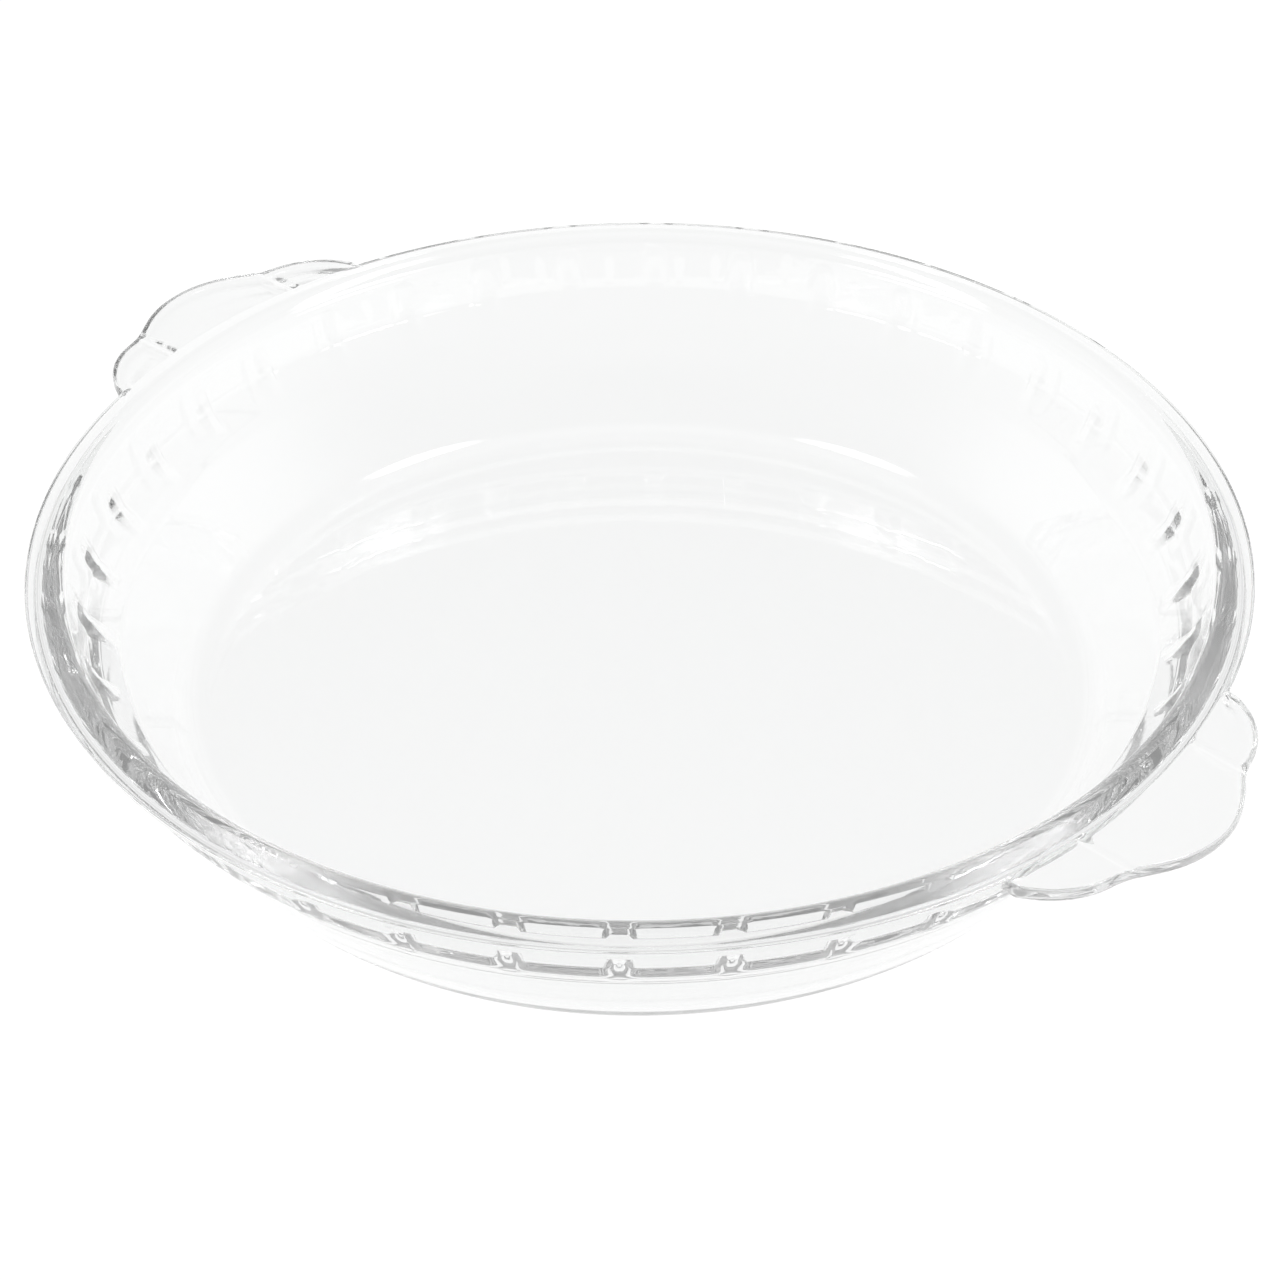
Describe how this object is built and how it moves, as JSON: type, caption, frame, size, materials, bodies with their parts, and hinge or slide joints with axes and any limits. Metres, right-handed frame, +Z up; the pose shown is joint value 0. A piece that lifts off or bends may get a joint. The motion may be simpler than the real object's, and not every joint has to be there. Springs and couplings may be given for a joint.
{
  "type": "pie dish",
  "caption": "Round clear glass pie dish with sloping sides, a fluted upstand under a flat rim, and lobed handles at opposite sides for lifting it out of the oven.",
  "frame": {"origin": "middle of the flat face that the dish rests on", "axes": "+Z up through the open top, +X towards the right handle"},
  "size_m": [0.2714, 0.2388, 0.0428],
  "materials": {
    "clear_glass": "clear pressed glass, fire-polished"
  },
  "bodies": {
    "root": {"base": "clear_glass", "heel": "clear_glass", "side_wall": "clear_glass", "ledge": "clear_glass", "upstand": "clear_glass", "flute_ribs": "clear_glass", "rim": "clear_glass", "left_handle_middle_lobe": "clear_glass", "left_handle_front_lobe": "clear_glass", "left_handle_back_lobe": "clear_glass", "right_handle_middle_lobe": "clear_glass", "right_handle_front_lobe": "clear_glass", "right_handle_back_lobe": "clear_glass"}
  },
  "joints": []
}
